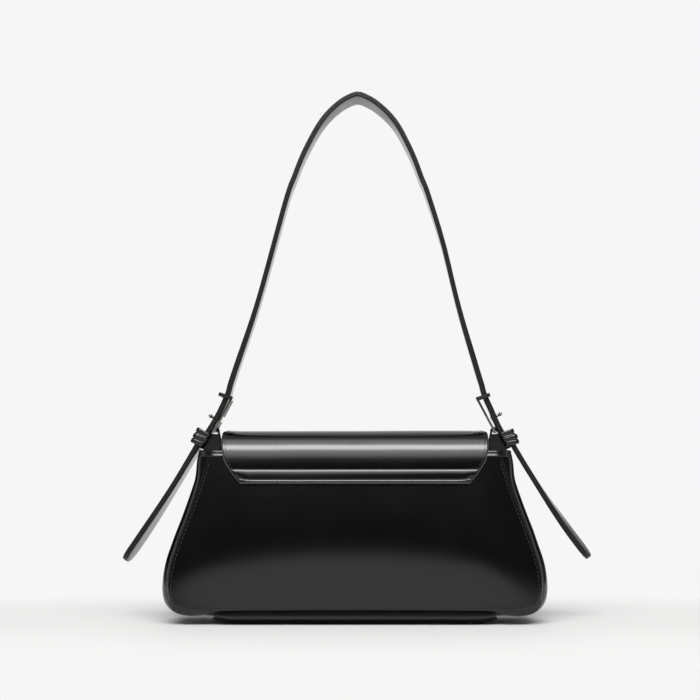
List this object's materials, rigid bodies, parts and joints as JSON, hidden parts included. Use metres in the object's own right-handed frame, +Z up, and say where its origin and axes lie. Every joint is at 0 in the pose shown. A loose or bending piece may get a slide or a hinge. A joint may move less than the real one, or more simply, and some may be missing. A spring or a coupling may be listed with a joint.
{
  "type": "shoulder bag",
  "caption": "Black leather shoulder bag: flared box body, roll-over flap with a magnetic snap, arched strap on loop buckles, free strap tails.",
  "frame": {"origin": "centre of the flat base the bag rests on, midway between its ends and its faces", "axes": "+Z up; +X along the bag's width, to the right seen from the back; +Y from the back to the front flap"},
  "size_m": [0.35, 0.0759, 0.3963],
  "materials": {
    "black_leather": "smooth polished black leather",
    "edge_leather": "black leather with a softer sheen and painted edges",
    "lining_cloth": "matt black twill",
    "stiff_board": "bare fibre board, hidden between leather and lining",
    "pale_metal": "polished pale plating over cast metal"
  },
  "bodies": {
    "bag": {"rear_panel": "black_leather", "front_panel": "black_leather", "side_gusset_left": "black_leather", "side_gusset_right": "black_leather", "base_panel": "black_leather", "flap_root": "black_leather", "flap_root_bar": "black_leather", "tab_left": "black_leather", "tab_right": "black_leather", "strap_end_left": "black_leather", "strap_end_right": "black_leather", "mouth_binding_rear": "edge_leather", "mouth_binding_front": "edge_leather", "keeper_left": "edge_leather", "keeper_right": "edge_leather", "lining": "lining_cloth", "slip_pocket": "lining_cloth", "rear_stiffener": "stiff_board", "front_stiffener": "stiff_board", "base_board": "stiff_board", "buckle_frame_left": "pale_metal", "buckle_frame_right": "pale_metal", "buckle_stud_left": "pale_metal", "buckle_stud_right": "pale_metal", "snap_socket": "pale_metal"},
    "flap": {"flap_outer": "black_leather", "flap_lining": "edge_leather", "snap_stud": "pale_metal"},
    "strap": {"strap": "black_leather"},
    "tail_left": {"strap_tail_left": "black_leather"},
    "tail_right": {"strap_tail_right": "black_leather"}
  },
  "joints": [
    {"name": "flap_hinge", "type": "hinge", "parent": "bag", "child": "flap", "pos_m": [0, -0.0292, 0.129], "axis": [1, 0, 0], "range_deg": [0, 170]},
    {"name": "strap_swing", "type": "hinge", "parent": "bag", "child": "strap", "pos_m": [0, 0, 0.188], "axis": [-1, 0, 0], "range_deg": [-60, 88]},
    {"name": "tail_left_bend", "type": "hinge", "parent": "bag", "child": "tail_left", "pos_m": [-0.11814, 0, 0.13204], "axis": [0, 1, 0], "range_deg": [-8, 40], "stiffness_Nm_per_rad": 0.05, "springref_deg": 2.7},
    {"name": "tail_right_bend", "type": "hinge", "parent": "bag", "child": "tail_right", "pos_m": [0.11814, 0, 0.13204], "axis": [0, -1, 0], "range_deg": [-8, 40], "stiffness_Nm_per_rad": 0.05, "springref_deg": 2.7}
  ]
}
